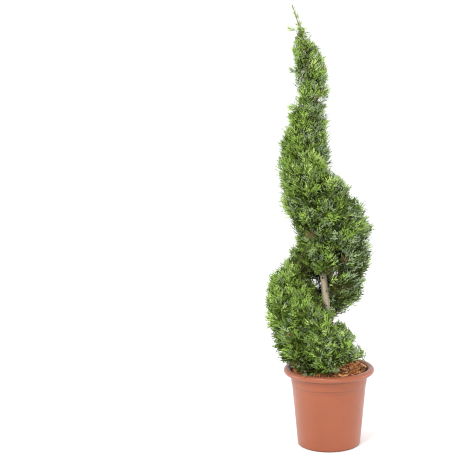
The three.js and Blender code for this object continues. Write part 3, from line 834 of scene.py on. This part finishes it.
def shoulder_sprays(rng, azimuth, spread, bottom, top, count, past):
    turn, z = azimuth + rng.normal(0, spread, count), rng.uniform(bottom, top, count)
    normal = crown_normal(turn, z)
    along = scattered(rng, 0.6 * normal + 0.5 * UP, 0.35, count)
    flat = scattered(rng, 0.7 * normal, TUFT.tumble, count)
    length = rng.uniform(38, 60, count)
    far = crown_reach(turn, z) + past
    root = on_crown(turn, z, far) - along * length[:, None]
    return spray_rows(root, along, flat, length, rng.uniform(0, 0.8, count), loose=far + 2)


def stray_sprays(rng, tip, way, length, count):
    along = scattered(rng, way, 0.18, count)
    size = length * rng.uniform(0.8, 1.1, count)
    root = np.array(tip) + rng.normal(0, 2.5, (count, 3)) - along * size[:, None]
    return spray_rows(root, along, scattered(rng, (0, -1, 0.4), 0.5, count), size, 0.3, loose=220)


def trunk_sprays(rng, bottom, top, count, spread, short, long, loose, azimuth=None):
    """Short shoots straight off the trunk, which close the groove but for one bare stretch."""
    z = rng.uniform(bottom, top, count)
    turn = (facing(z) + 180 if azimuth is None else azimuth) + rng.normal(0, spread, count)
    rise = UP * rng.uniform(0.1, 1.1, count)[:, None]
    along = scattered(rng, outward(turn, z) + rise, 0.3, count)
    root = on_crown(turn, z, 0.6 * trunk_radius(z))
    length = rng.uniform(short, long, count)
    return spray_rows(root, along, any_face(along, rng), length, rng.uniform(0, 1, count),
                      loose=loose)


def leader_sprays(rng):
    """Small shoots along the leader, shorter towards its tip."""
    count = LEADER_SPRAYS.count
    share = np.sort(rng.random(count))
    z = LEADER_SPRAYS.bottom + (LEADER_SPRAYS.top - LEADER_SPRAYS.bottom) * share
    azimuth = np.arange(count) * LEADER_SPRAYS.turn
    along = scattered(rng, outward(azimuth, z) * 0.55 + UP, 0.15, count)
    length = LEADER_SPRAYS.longest - LEADER_SPRAYS.shorter * share
    return spray_rows(on_crown(azimuth, z, 0.0), along, any_face(along, rng), length, 0.0,
                      loose=LEADER_SPRAYS.loose)


# Which sprays stay

# How far past the crown's form a spray may end, in mm. It is less along the leader, on the
# left above `left_from`, and on the right at the leader and within `lobe_half` of a height.
PAST = Named(form=6, leader=17, leader_from=1335, leader_run=35, left=7, left_from=620,
             leader_right=9, leader_right_from=1350, leader_right_run=15, lobe_right=5,
             lobe_height=565, lobe_half=135)
PAST_BOX = 11
SHORTEST_SPRAY = 8


def allowed_reach(sprays, tip, azimuth):
    z, right = tip[:, 2], np.cos(np.radians(azimuth))
    past = (PAST.form - PAST.leader * grows(z, PAST.leader_from, PAST.leader_run)
            - PAST.left * np.clip(-right, 0, 1) * (z > PAST.left_from))
    beside_lobe = np.abs(z - PAST.lobe_height) < PAST.lobe_half
    at_leader = grows(z, PAST.leader_right_from, PAST.leader_right_run)
    past -= np.clip(right, 0, 1) * (PAST.leader_right * at_leader + PAST.lobe_right * beside_lobe)
    limit = 0.99 + 0.1 * sprays["limit"] ** 2
    return np.maximum(crown_reach(azimuth, z) * limit + past, sprays["loose"])


def trimmed(sprays):
    """Sprays clipped to the crown's form. One that the shears would take away is dropped."""
    root, along, length = sprays["root"], sprays["along"], sprays["length"].copy()
    for _ in range(3):
        tip = root + along * length[:, None]
        radius, azimuth = crown_place(tip)
        over = radius / np.maximum(allowed_reach(sprays, tip, azimuth), 1)
        length = np.where(over > 1, length * np.clip(1 / over, 0.5, 1), length)
    tip = root + along * length[:, None]
    radius, azimuth = crown_place(tip)
    keep = length > SHORTEST_SPRAY
    keep &= radius < 1.05 * allowed_reach(sprays, tip, azimuth) + 2
    keep &= radius > trunk_radius(tip[:, 2]) + 2
    side = unit(np.cross(sprays["flat"], along)) * 0.4 * length[:, None]
    waist = root + along * 0.6 * length[:, None]
    for point in ((tip + root) / 2, tip, waist + side, waist - side):
        keep &= clear_of_pot(point)
    deep = radius / np.maximum(crown_reach(azimuth, tip[:, 2]), 1)
    return picked(dict(sprays, length=length, tip=tip, azimuth=azimuth, deep=deep), keep)


def boxed(sprays, kinds):
    """The sprays without those that would stand far out of the box."""
    low, high = (np.array(corner) / MM for corner in cad_box)
    keep = np.ones(len(sprays["tip"]), bool)
    for k, (_, young) in enumerate(kinds):
        chosen = np.flatnonzero(sprays["kind"] == k)
        points = placed(young, sprays, chosen)[0].reshape(len(chosen), -1, 3)
        keep[chosen] = ((points > low - PAST_BOX) & (points < high + PAST_BOX)).all((1, 2))
    return picked(sprays, keep)


# The photograph shows the plant well right of its middle, with the pot upright, so the lens is
# shifted and not turned. `shift` is in widths of the picture.
CAMERA = Named(distance=3.2, height=1.0973, down=7.07, lens=75.577, shift=-0.1999, sensor=36)

# Places where the photograph sees through the foliage, to the chips or to the trunk. For each
# distance behind the pot's axis up to which it is clear: x and z in the plane of the axis, the
# radius, and the share of sprays taken.
SIGHT_GAPS = {
    200: ((-50, 561, 10, 0.95), (-52, 541, 8, 0.85), (-41, 526, 7, 0.7), (-79, 591, 22, 0.55),
          (20, 571, 11, 1.0), (19, 420, 16, 1.0), (39, 848, 14, 0.5), (60, 800, 14, 0.5),
          (121, 700, 9, 0.8), (-32, 1141, 9, 0.9), (-72, 1337, 9, 0.9), (28, 425, 12, 1.0),
          (-14, 1133, 10, 0.9), (-19, 1009, 8, 0.5), (-12, 977, 8, 0.5), (-24, 1075, 8, 0.6),
          (27, 880, 9, 0.5), (-139, 830, 7, 0.5), (-90, 610, 8, 0.85), (18, 643, 8, 0.85),
          (34, 637, 8, 0.85), (52, 590, 8, 0.7), (50, 570, 8, 0.7), (36, 438, 9, 0.95),
          (-128, 735, 10, 0.9), (-166, 925, 8, 0.8), (-163, 905, 8, 0.8), (137, 603, 12, 0.9),
          (77, 466, 7, 0.8)),
    120: ((37, 245, 14, 0.95), (70, 260, 16, 0.95), (100, 277, 12, 0.95), (20, 238, 13, 0.95),
          (46, 250, 14, 0.95)),
    20: ((-12, 560, 14, 1.0), (-5, 535, 14, 1.0)),
}
CLEARED = 0.8  # a sight gap that takes this share of the sprays takes the twigs too


def sight_plane(points):
    """Where the photograph's lines of sight through points meet the plane of the pot's axis."""
    distance, height = CAMERA.distance / MM, CAMERA.height / MM
    nearer = distance / (distance + points[..., 1])
    return points[..., 0] * nearer, height + (points[..., 2] - height) * nearer


def taken_at(points):
    """The share of sprays that a sight gap takes at each point."""
    x, z = sight_plane(points)
    share = np.zeros(x.shape)
    for back, gaps in SIGHT_GAPS.items():
        for gap_x, gap_z, radius, taken in gaps:
            inside = (np.hypot(x - gap_x, z - gap_z) < radius) & (points[..., 1] < back)
            share = np.where(inside, np.maximum(share, taken), share)
    return share


def opened(sprays):
    """The sprays without those that a sight gap takes."""
    along = np.linspace(0.3, 1, 3)[:, None, None] * (sprays["length"][:, None] * sprays["along"])
    return picked(sprays, (sprays["chance"] >= taken_at(sprays["root"] + along)).all(0))


# The foliage

LEAF_TONES = {
    "fresh": (0.37, 0.5, 0.14),
    "light": (0.255, 0.395, 0.072),
    "mid": (0.16, 0.265, 0.042),
    "deep": (0.08, 0.128, 0.016),
    "shade": (0.033, 0.044, 0.006),
    # painted: the grey-blue of shaded undersides, and bluish glints
    "bluish": (0.245, 0.325, 0.17),
    "dead": (0.165, 0.105, 0.045),
}
TONE_STEPS = (0.87, 0.5, 0.19, -0.12)
FRESH, SHADE, BLUISH, DEAD = 0, 4, 5, 6
# Older parts are darker, as older foliage is, and partly painted shade at the feet of the shoots.
OLDER_TONE = (3, 3, 4, 4, 4, 4, 6)  # the tone of a spray's older part, by its own tone
# What makes a spray lighter or darker, and by how much. Its side, its height in the lobe, the
# right lobe, its tuft and its depth paint light and shade: lighter on the left and on the lobes'
# tops, darker on the right lobe, away from a tuft's middle and deep in the crown.
BRIGHT = Named(base=0.7, left=0.06, height=0.35, whim=0.36, low_front=0.24, tall=0.12,
               top_end=0.2, right_lobe=0.16, at_rim=0.26, tuft=0.34, deep=1.5, mood=0.23,
               high_mood=0.1)
# Places where the photograph shows dead shoots: x and z as of a sight gap, and the radius.
DEAD_PATCHES = ((33, 530, 36), (-58, 1233, 13), (-38, 1150, 20), (-110, 285, 14))


def tones_of(sprays):
    """Which leaf colour each spray gets. Its side, its height in the lobe, the right lobe, its tuft
    and its depth in the crown paint light and shade into it; random draws and dead patches vary it.
    """
    z = sprays["tip"][:, 2]
    bottom, top = ribbon_span(sprays["azimuth"])
    height = grows(z, bottom, np.maximum(top - bottom, 1))
    left = -np.cos(np.radians(sprays["azimuth"]))
    low_front = grows(z, 470, -180) * np.clip(0.9 - left, 0, 1)
    at_rim = grows(z, 320, -60)
    right_lobe = np.clip(-left, 0, 1) * (np.abs(z - 670) < 130)
    mixed = BRIGHT.mood - BRIGHT.high_mood * grows(z, 950, 300)
    bright = (BRIGHT.base + BRIGHT.left * left + BRIGHT.height * (height - 0.5)
              + BRIGHT.whim * (sprays["whim"] - 0.5) + BRIGHT.low_front * low_front
              + BRIGHT.tall * (z - 800) / 600 + BRIGHT.top_end * grows(z, 1320, 50)
              - BRIGHT.right_lobe * right_lobe - BRIGHT.at_rim * at_rim
              - BRIGHT.tuft * np.clip(sprays["tuft"], 0, 1.5) ** 1.5
              + BRIGHT.deep * np.clip(sprays["deep"] - 0.93, -0.4, 0.08)
              + mixed * sprays["mood"])
    tone = np.sum(bright[:, None] < np.array(TONE_STEPS), 1)
    # Painted shade and glints: bluish sprays, dealt more on the right, low in the lobes and near
    # the rim, stand for shaded grey-blue undersides and bluish glints.
    often = 0.3 - 0.2 * left - 0.35 * (height - 0.5) + 0.2 * at_rim
    bluish = sprays["blue"] < np.clip(often, 0.04, 0.6)
    tone = np.where(bluish & (tone > FRESH) & (tone < SHADE), BLUISH, tone)
    x, z = sight_plane(sprays["tip"])
    patch = sum(np.hypot(x - px, z - pz) < radius for px, pz, radius in DEAD_PATCHES)
    dead = sprays["dying"] < 0.008 + 0.03 * (sprays["deep"] < 0.8) + 0.18 * patch
    return np.where(dead, DEAD, tone)


def make_foliage(spaces, limbs):
    rng = np.random.default_rng(7)
    first, fine = masses_and_twigs(spaces)
    kinds = [spray_kind(np.random.default_rng(60 + k)) for k in range(SPRAY_KINDS)]
    sprays = boxed(opened(trimmed(grow_sprays(fine, rng))), kinds)
    tone = tones_of(sprays)
    older = np.array(OLDER_TONE)[tone]
    for t, (name, colour) in enumerate(LEAF_TONES.items()):
        bag = Bag()
        for k, parts in enumerate(kinds):
            for part, worn in zip(parts, (older, tone)):
                chosen = np.flatnonzero((worn == t) & (sprays["kind"] == k))
                bag.add(*placed(part, sprays, chosen))
        mesh_piece(f"leaves_{name}_1", *bag.arrays(), leaf_material(f"leaf_{name}", colour),
                   "foliage", nodes_named("foliage"))
    make_twigs(first, fine, limbs, rng)


# The trunk and boughs with their bark

TRUNK_MESH = Named(sides=40, rings=420, crowding=0.45)
# Lumps, strips and fine fibres of the bark: scale, seed, stretch and depth.
BARK_RELIEF = ((0.03, 1.3, 0.25, 0.07), (0.16, 4.7, 0.1, 0.05), (0.55, 9.1, 0.18, 0.025))
# The young bark of the leader is grey-green: factors of the colour by the height.
YOUNG_BARK = ((1050, 1), (1250, (0.5, 0.52, 0.38)), (1400, (0.42, 0.5, 0.3)))
# Knots: height, azimuth, half width in degrees and half height. The first one has a scar.
TRUNK_KNOTS = ((561, 250, 30, 6), (486, 205, 30, 5), (330, 300, 24, 6), (715, 330, 30, 5),
               (640, 190, 30, 5))
KNOT = Named(swell=1.8, swell_width=0.45, pit=2.4, pit_width=0.7)
SCAR = Named(depth=4, proud=0.4, radii=(4.2, 4.2, 3.4), sides=14)


def relief(points, scale, seed, stretch=0.25):
    shift = Vector((seed, 2 * seed, 3 * seed))
    return np.array([noise.noise(Vector((x, y, z * stretch)) * scale + shift)
                     for x, y, z in points])


def make_trunk():
    t = np.linspace(0, 1, TRUNK_MESH.rings)
    crowding = TRUNK_MESH.crowding
    height = SOIL.level + (TRUNK_TIP - SOIL.level) * (crowding * t * t + (1 - crowding) * t)
    z, angle = np.meshgrid(height, around(TRUNK_MESH.sides), indexing="ij")
    flare = np.exp(-(z - SOIL.level) / ROOT_FLARE.height) * (
        ROOT_FLARE.swell + ROOT_FLARE.depth * np.cos(ROOT_FLARE.ribs * angle))
    radius = trunk_radius(z) * (1 + flare)
    flat = np.stack([radius * np.cos(angle), radius * np.sin(angle), z], -1).reshape(-1, 3)
    rough = 1
    for scale, seed, stretch, depth in BARK_RELIEF:
        rough = rough + depth * relief(flat, scale, seed, stretch).reshape(z.shape)
    radius = radius * rough
    for where, way, size, tall in TRUNK_KNOTS:
        spot = np.hypot(wrap(np.degrees(angle) - way) / size, (z - where) / tall)
        radius += KNOT.swell * np.exp(-((spot - 1) / KNOT.swell_width) ** 2)
        radius -= KNOT.pit * np.exp(-(spot / KNOT.pit_width) ** 2)
    points = np.stack([trunk_x(z) + radius * np.cos(angle),
                       trunk_y(z) + radius * np.sin(angle), z], -1)
    pale = bark_material("trunk_bark", (0.46, 0.4, 0.29), (0.28, 0.235, 0.16), 28, *YOUNG_BARK)
    mesh_piece("trunk_bark", points, ring_faces(TRUNK_MESH.rings, TRUNK_MESH.sides), pale,
               "trunk", ("trunk",), smooth=True)
    where, way = TRUNK_KNOTS[0][:2]
    sunk, proud = (on_crown(way, where, trunk_radius(where) + r) for r in (-SCAR.depth, SCAR.proud))
    shape = tube([[sunk, (sunk + proud) / 2, proud]], [SCAR.radii], SCAR.sides)
    scar = bark_material("scar_bark", (0.06, 0.035, 0.02), (0.03, 0.018, 0.01), 90)
    mesh_piece("trunk_scar", *shape, scar, "trunk", smooth=True)


def make_boughs(limbs):
    bag = Bag()
    waves = 1 + BOUGH.waves * np.sin(np.arange(BOUGH.rings) * BOUGH.wave)
    for limb in limbs:
        for ends, wide, narrow, collar in (
                (limb.bough, limb.thick, limb.thin, BOUGH.collar),
                (limb.stem, limb.thin, BOUGH.stem_taper * limb.thin, 1)):
            radii = np.linspace(wide, narrow, BOUGH.rings) * waves
            radii[0] *= collar
            bag.add(*tube([bezier(*ends, BOUGH.rings)], [radii], BOUGH.sides))
    points, faces = bag.arrays()
    rough = relief(points, 0.35, 5.5, 0.5)
    points = points + 0.35 * rough[:, None] * unit(points - points.mean(0))
    brown = bark_material("bough_bark", (0.32, 0.24, 0.14), (0.14, 0.095, 0.05), 45)
    mesh_piece("boughs_bark", points, faces, brown, "bough", nodes_named("bough"), smooth=True)


# The pot

def wall_radius(z):
    return POT.base_radius + (POT.shoulder_radius - POT.base_radius) * (z / SHOULDER)


def arc(cx, cz, rx, rz, start, end):
    count = max(2, round(abs(end - start) / POT.arc_step) + 1)
    turn = np.radians(np.linspace(start, end, count))
    return [(cx + rx * math.cos(a), cz + rz * math.sin(a)) for a in turn]


def pot_profile():
    """The pot's outline, from the middle of its underside to the middle of its floor."""
    roll_r = (POT.mouth_radius + POT.rim_radius) / 2
    roll_z = POT.height - POT.rim_height / 2
    rx, rz = (POT.rim_radius - POT.mouth_radius) / 2, POT.rim_height / 2
    step = SHOULDER - POT.step_below_rim
    foot, soft = POT.foot, 1.0
    outline = [(0, 0), (POT.base_radius - foot - 1, 0)]
    outline += arc(POT.base_radius - foot - 1, foot, foot + 1 + 0.3, foot, -90, 0)
    outline += [(wall_radius(z), z) for z in np.linspace(foot + 2, step - soft, 9)]
    outline += [(wall_radius(step) + POT.step * s, step + soft * (2 * s - 1) + soft)
                for s in (0.15, 0.5, 0.85, 1)]
    outline += [(wall_radius(z) + POT.step, z) for z in np.linspace(step + 5, SHOULDER - 1, 3)]
    outline += arc(roll_r, roll_z, rx - POT.lip, rz - POT.lip, 180, -54)[1:]
    outline += arc(roll_r, roll_z, rx, rz, -59, 180)
    outline += [(POT.shoulder_radius - POT.wall, SHOULDER),
                (wall_radius(POT.floor) - POT.wall, POT.floor), (0, POT.floor)]
    return outline


def lathe(profile, sides):
    """A turned form whose profile starts and ends on the axis."""
    ring = np.array([p for p in profile if p[0] > 1e-6])
    turn = around(sides)
    points = np.stack([ring[:, :1] * np.cos(turn), ring[:, :1] * np.sin(turn),
                       ring[:, 1:] + 0 * turn], -1).reshape(-1, 3)
    k = np.arange(sides)
    nxt = (k + 1) % sides
    low, high, last = len(points), len(points) + 1, len(points) - sides
    ends = [np.stack([nxt, k, 0 * k + low], 1), np.stack([last + k, last + nxt, 0 * k + high], 1)]
    points = np.concatenate([points, [(0, 0, profile[0][1]), (0, 0, profile[-1][1])]])
    return points, np.concatenate([ring_faces(len(ring), sides, ends=False), *ends])


def make_pot():
    piece = mesh_piece("pot_shell", *lathe(pot_profile(), POT.sides), pot_material(), "pot",
                       ("pot",), smooth=True)
    holes = Bag()
    for angle in around(POT.drain_holes):
        x, y = POT.drain_circle * math.cos(angle), POT.drain_circle * math.sin(angle)
        path = [[x, y, -POT.foot], [x, y, 0], [x, y, POT.floor + 5.5]]
        holes.add(*tube([path], [[POT.drain_radius] * 3], 24))
    cutter = mesh_piece("drain_cutter", *holes.arrays(), piece.data.materials[0], "pot")
    cut = piece.modifiers.new("drain", "BOOLEAN")
    cut.object, cut.solver = cutter, "EXACT"
    view = bpy.context.evaluated_depsgraph_get()
    shape = bpy.data.meshes.new_from_object(piece.evaluated_get(view))
    piece.modifiers.remove(cut)
    piece.data = shape
    bpy.data.objects.remove(cutter)
    shape.shade_smooth()
    shape.set_sharp_from_angle(angle=math.radians(38))


# The soil and the bark mulch on it

SOIL_MESH = Named(rings=40, sides=120, hole=0.5, grain=1.6, heights=(POT.floor + CLEAR, 120, 231))
CHIP_TONES = {
    "orange": ((0.8, 0.33, 0.12), (0.5, 0.17, 0.05)),
    "tan": ((0.85, 0.5, 0.26), (0.6, 0.3, 0.13)),
    "brown": ((0.3, 0.12, 0.05), (0.1, 0.04, 0.018)),
}
# How many chips of each tone there are, as shares, and the least and greatest length, width and
# thickness. Width and thickness are shares of the length. Crumbs are small chips, piled higher.
CHIPS = Named(count=1500, crumbs=1700, shares=(0.48, 0.32, 0.2), length=(8, 26),
              crumb_length=(2.5, 7), width=(0.16, 0.45), thickness=(0.07, 0.14), corners=(5, 8),
              from_rim=9, off_trunk=24, bow=0.12, tilt=0.3, proud=1.2, piled=3.2,
              crumbs_piled=4.5)


def soil_relief(x, y):
    fade = grows(np.hypot(x - FOOT_X, y), SOIL.flat_radius, SOIL.fade)
    waves = np.sin(x / 17 + 1) * np.cos(y / 13) + 0.5 * np.sin((x + y) / 8)
    heaped = grows(np.hypot(x, y), SOIL.heap_from, SOIL.heap_run) ** 2
    return fade * SOIL.relief * waves + SOIL.heaped * heaped


def make_soil():
    def inside(height):
        return wall_radius(height) - POT.wall - CLEAR

    turn = around(SOIL_MESH.sides)
    r = np.linspace(inside(SHOULDER), SOIL_MESH.hole, SOIL_MESH.rings)
    radius, angle = np.meshgrid(r, turn, indexing="ij")
    x, y = radius * np.cos(angle), radius * np.sin(angle)
    grain = np.array([noise.noise(Vector((a, b, 0)) * 0.12)
                      + 0.5 * noise.noise(Vector((a, b, 9)) * 0.4)
                      for a, b in zip(x.ravel(), y.ravel())]).reshape(x.shape)
    z = SOIL.level - CLEAR + soil_relief(x, y) + SOIL_MESH.grain * grain
    wall = [np.stack([inside(h) * np.cos(turn), inside(h) * np.sin(turn), 0 * turn + h], -1)
            for h in SOIL_MESH.heights]
    points = np.concatenate([*wall, np.stack([x, y, z], -1).reshape(-1, 3)])
    earth = chip_material("compost", (0.13, 0.06, 0.03), (0.035, 0.018, 0.01))
    mesh_piece("compost", points, ring_faces(SOIL_MESH.rings + len(wall), SOIL_MESH.sides),
               earth, "soil", ("soil",), smooth=True)
    make_chips()


def make_chips():
    """Splinters and flakes of bark that lie on the compost."""
    rng = np.random.default_rng(41)
    bags = {name: Bag() for name in CHIP_TONES}
    for i in range(CHIPS.count + CHIPS.crumbs):
        big = i < CHIPS.count
        far = math.sqrt(rng.random()) * (POT.mouth_radius - CHIPS.from_rim)
        azimuth = rng.uniform(0, 2 * math.pi)
        x, y = far * math.cos(azimuth), far * math.sin(azimuth)
        length = rng.uniform(*(CHIPS.length if big else CHIPS.crumb_length))
        if math.hypot(x - FOOT_X, y) < CHIPS.off_trunk + length / 2:
            continue
        wide, thick = length * rng.uniform(*CHIPS.width), length * rng.uniform(*CHIPS.thickness)
        corners = rng.integers(*CHIPS.corners)
        turn = around(corners) + rng.uniform(-0.3, 0.3, corners)
        rim = np.stack([np.cos(turn) * length / 2, np.sin(turn) * wide / 2], 1)
        rim *= rng.uniform(0.75, 1.15, (corners, 1))
        bow = CHIPS.bow * rng.uniform(-1, 1) * (rim[:, 0] / length * 2) ** 2 * length
        low = np.column_stack([rim * 0.92, bow - thick / 2])
        high = np.column_stack([rim, bow + thick / 2 + rng.uniform(-0.15, 0.15, corners) * thick])
        turns = [Matrix.Rotation(angle, 3, axis) for angle, axis in (
            (rng.uniform(0, 2 * math.pi), "Z"), (rng.normal(0, CHIPS.tilt), "X"),
            (rng.normal(0, CHIPS.tilt), "Y"))]
        shape = np.concatenate([low, high]) @ np.array(turns[0] @ turns[1] @ turns[2]).T
        lift = rng.uniform(0, CHIPS.piled if big else CHIPS.crumbs_piled)
        z = SOIL.level + float(soil_relief(x, y)) + CHIPS.proud + lift
        name = rng.choice(list(CHIP_TONES), p=CHIPS.shares)
        bags[name].add(shape + [x, y, z], ring_faces(2, corners))
    for name, (light, dark) in CHIP_TONES.items():
        material = chip_material(f"chip_{name}", light, dark)
        mesh_piece(f"chips_{name}", *bags[name].arrays(), material, "soil")


# The camera, lights and floor

# Each light's name, place, aim, power in watts, width and height
LIGHTS = (
    ("key", (-1.2, -2.6, 2.8), (0, 0, 0.7), 62, 0.6, 0.6),
    ("front", (0.7, -3.2, 0.9), (0, 0, 0.45), 35, 1.0, 1.0),
    ("left_strip", (-2.2, 0, 0.3), (0, 0, 0.15), 13, 0.35, 0.6),
    ("right_strip", (2.2, 0.2, 0.3), (0, 0, 0.15), 10, 0.35, 0.6),
    ("back", (0.5, 2.6, 2.4), (0, 0, 0.9), 8, 1.6, 1.6),
)
SKY_STRENGTH = 1.07
FLOOR_HALF = 25


def linked(name, data):
    """A new object in the scene."""
    made = bpy.data.objects.new(name, data)
    bpy.context.scene.collection.objects.link(made)
    return made


def make_stage():
    scene = bpy.context.scene
    camera = linked("camera", bpy.data.cameras.new("camera"))
    camera.location = (0, -CAMERA.distance, CAMERA.height)
    camera.rotation_euler = (math.radians(90 - CAMERA.down), 0, 0)
    camera.data.lens, camera.data.shift_x = CAMERA.lens, CAMERA.shift
    camera.data.sensor_width = CAMERA.sensor
    scene.camera = camera

    mesh = bpy.data.meshes.new("floor")
    corners = [(x * FLOOR_HALF, y * FLOOR_HALF, 0) for x, y in ((-1, -1), (1, -1), (1, 1), (-1, 1))]
    mesh.from_pydata(corners, [], [(0, 1, 2, 3)])
    mesh.materials.append(Paint("floor_paint", (0.98, 0.98, 0.98), 0.8, 0.1).material)
    floor = linked("floor", mesh)

    world = bpy.data.worlds.new("studio")
    world.use_nodes = True
    background = world.node_tree.nodes["Background"]
    background.inputs["Color"].default_value = (1, 1, 1, 1)
    background.inputs["Strength"].default_value = SKY_STRENGTH
    scene.world = world
    scene.view_settings.view_transform = "Standard"
    # Fine leaves stay crisp only with a narrow pixel filter and a denoiser that keeps detail.
    scene.cycles.denoising_prefilter = "NONE"
    scene.cycles.filter_width = 1.15

    for name, place, aim, power, wide, tall in LIGHTS:
        data = bpy.data.lights.new(name, "AREA")
        data.shape = "RECTANGLE"
        data.energy, data.size, data.size_y = power, wide, tall
        light = linked(name, data)
        light.location = place
        light.rotation_euler = (Vector(aim) - Vector(place)).to_track_quat("-Z", "Y").to_euler()


spaces = mass_spaces()
limbs = limbs_of(spaces)
make_stage()
make_pot()
make_soil()
make_trunk()
make_boughs(limbs)
make_foliage(spaces, limbs)
